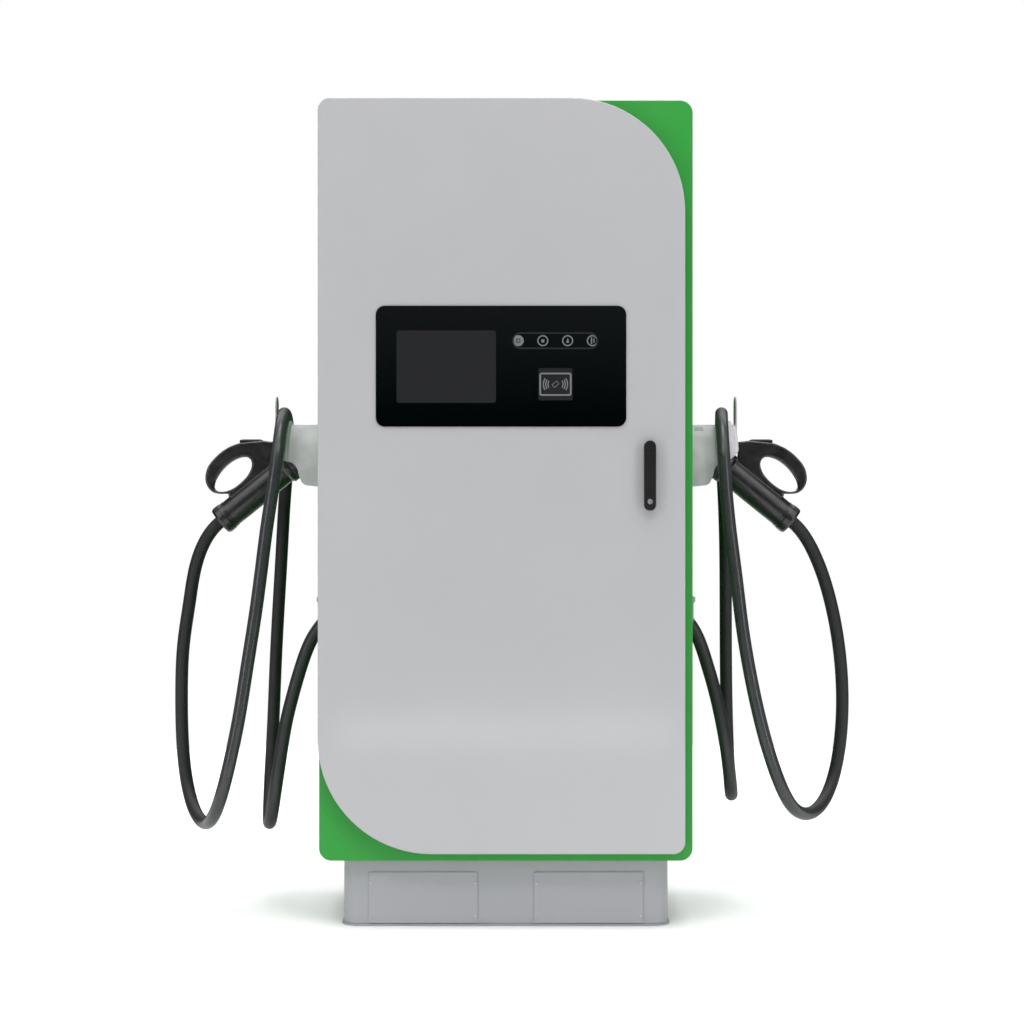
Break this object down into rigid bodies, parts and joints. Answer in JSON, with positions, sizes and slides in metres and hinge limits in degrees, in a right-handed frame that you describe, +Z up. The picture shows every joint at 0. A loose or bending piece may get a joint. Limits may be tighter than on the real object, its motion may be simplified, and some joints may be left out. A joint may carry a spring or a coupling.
{
  "type": "ev charging post",
  "caption": "Floor-standing charging cabinet with a hinged door, display panel, swing handle and a holstered charging gun with hung cable on each side.",
  "frame": {"origin": "on the ground, under the middle of the post (bounding box of everything but the cables and guns)", "axes": "+Z up, +X to the right of someone facing the door, +Y from the door to the rear"},
  "size_m": [1.4293, 0.5698, 1.661],
  "materials": {
    "shell_green": "satin powder coat, green",
    "door_grey": "satin powder coat, light grey",
    "plinth_grey": "satin powder coat, mid grey",
    "holder_grey": "moulded, fine texture",
    "fascia_black": "gloss black panel",
    "black_plastic": "moulded, satin",
    "gun_black": "moulded, satin",
    "device_grey": "moulded, matte",
    "circuit_green": "solder mask",
    "cable_black": "smooth cable sheath",
    "seal_rubber": "matte",
    "galvanised_steel": "galvanised sheet",
    "module_aluminium": "satin",
    "zinc_steel": "zinc plated"
  },
  "bodies": {
    "root": {"cabinet_shell": "shell_green", "rear_panel": "door_grey", "exhaust_hood": "door_grey", "plinth_frame": "plinth_grey", "fork_cover_front_left": "plinth_grey", "fork_cover_front_right": "plinth_grey", "fork_cover_rear_left": "plinth_grey", "fork_cover_rear_right": "plinth_grey", "gland_plate": "galvanised_steel", "module_rack": "galvanised_steel", "mounting_plate": "galvanised_steel", "rail_left": "galvanised_steel", "rail_right": "galvanised_steel", "power_module_1": "module_aluminium", "power_module_2": "module_aluminium", "power_module_3": "module_aluminium", "power_module_4": "module_aluminium", "power_supply": "module_aluminium", "dc_contactor_left": "black_plastic", "dc_contactor_right": "black_plastic", "energy_meter": "device_grey", "control_unit": "circuit_green", "main_breaker": "black_plastic", "fan_housing_left": "black_plastic", "fan_housing_right": "black_plastic", "hinge_frame_leaf_lower": "zinc_steel", "hinge_frame_leaf_upper": "zinc_steel", "holder_left": "holder_grey", "holder_right": "holder_grey", "cable_retainer_left": "holder_grey", "cable_retainer_right": "holder_grey", "gun_socket_left": "gun_black", "gun_socket_right": "gun_black", "charging_gun_left": "gun_black", "charging_gun_right": "gun_black", "cable_exit_hood_left": "plinth_grey", "cable_exit_hood_right": "plinth_grey", "strain_relief_left": "seal_rubber", "strain_relief_right": "seal_rubber", "cable_left": "cable_black", "cable_right": "cable_black"},
    "door": {"front_door": "door_grey", "door_gasket": "seal_rubber", "display_fascia": "fascia_black", "display_module": "device_grey", "indicator_board": "circuit_green", "card_reader": "black_plastic", "lock_escutcheon": "black_plastic", "hinge_door_leaf_lower": "zinc_steel", "hinge_door_leaf_upper": "zinc_steel"},
    "handle": {"handle_spindle": "black_plastic"},
    "lever": {"lock_lever": "black_plastic"},
    "cylinder": {"lock_cylinder": "zinc_steel"},
    "rod_upper": {"lock_rod_upper": "zinc_steel"},
    "rod_lower": {"lock_rod_lower": "zinc_steel"},
    "toggle": {"breaker_toggle": "device_grey"},
    "fan_left": {"fan_rotor_left": "black_plastic"},
    "fan_right": {"fan_rotor_right": "black_plastic"},
    "button_left": {"gun_button_left": "gun_black"},
    "button_right": {"gun_button_right": "gun_black"}
  },
  "joints": [
    {"name": "door_hinge", "type": "hinge", "parent": "root", "child": "door", "pos_m": [-0.365, -0.2547, 1], "axis": [0, 0, -1], "range_deg": [0, 110]},
    {"name": "handle_turn", "type": "hinge", "parent": "door", "child": "handle", "pos_m": [0.2868, -0.2704, 0.964], "axis": [0, 1, 0], "range_deg": [0, 90]},
    {"name": "lever_lift", "type": "hinge", "parent": "handle", "child": "lever", "pos_m": [0.2868, -0.2844, 0.9614], "axis": [-1, 0, 0], "range_deg": [0, 45]},
    {"name": "key_turn", "type": "hinge", "parent": "lever", "child": "cylinder", "pos_m": [0.2868, -0.2777, 0.8555], "axis": [0, 1, 0], "range_deg": [0, 90]},
    {"name": "rod_upper_slide", "type": "slide", "parent": "door", "child": "rod_upper", "axis": [0, 0, -1], "range_m": [0, 0.014]},
    {"name": "rod_lower_slide", "type": "slide", "parent": "door", "child": "rod_lower", "axis": [0, 0, 1], "range_m": [0, 0.014]},
    {"name": "breaker_switch", "type": "hinge", "parent": "root", "child": "toggle", "pos_m": [-0.1875, 0.0663, 0.78], "axis": [1, 0, 0], "range_deg": [0, 40]},
    {"name": "fan_spin_left", "type": "hinge", "parent": "root", "child": "fan_left", "pos_m": [-0.105, 0.211, 1.44], "axis": [0, 1, 0], "continuous": true},
    {"name": "fan_spin_right", "type": "hinge", "parent": "root", "child": "fan_right", "pos_m": [0.105, 0.211, 1.44], "axis": [0, 1, 0], "continuous": true},
    {"name": "button_press_left", "type": "slide", "parent": "root", "child": "button_left", "axis": [0, 0, -1], "range_m": [0, 0.004], "stiffness_N_per_m": 800, "springref_m": -0.002},
    {"name": "button_press_right", "type": "slide", "parent": "root", "child": "button_right", "axis": [0, 0, -1], "range_m": [0, 0.004], "stiffness_N_per_m": 800, "springref_m": -0.002}
  ],
  "couplings": [
    {"joint": "rod_upper_slide", "follows": "handle_turn", "m_per_rad": 0.0089},
    {"joint": "rod_lower_slide", "follows": "handle_turn", "m_per_rad": 0.0089}
  ]
}
